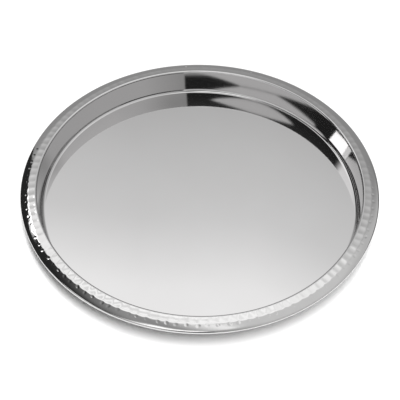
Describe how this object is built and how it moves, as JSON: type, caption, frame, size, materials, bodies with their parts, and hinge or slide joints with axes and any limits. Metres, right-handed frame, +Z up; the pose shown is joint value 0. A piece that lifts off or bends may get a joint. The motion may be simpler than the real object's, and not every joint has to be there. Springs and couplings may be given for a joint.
{
  "type": "bar tray",
  "caption": "Round bar tray in mirror-polished steel with a flat floor, a steep low wall, a hammered border and a rolled, wired edge.",
  "frame": {"origin": "centre of the flat underside, on the surface that the tray stands on", "axes": "+Z up along the tray's axis; X and Y lie in the underside, and the wire's butted ends face +X"},
  "size_m": [0.3555, 0.3556, 0.0277],
  "materials": {
    "polished_steel": "mirror-polished stainless steel sheet",
    "hammered_steel": "mirror-polished stainless steel sheet with one row of hammer marks",
    "wire_steel": "drawn steel wire, hidden in the rolled edge"
  },
  "bodies": {
    "root": {"tray_pan": "polished_steel", "hammered_border": "hammered_steel", "edge_wire": "wire_steel"}
  },
  "joints": []
}
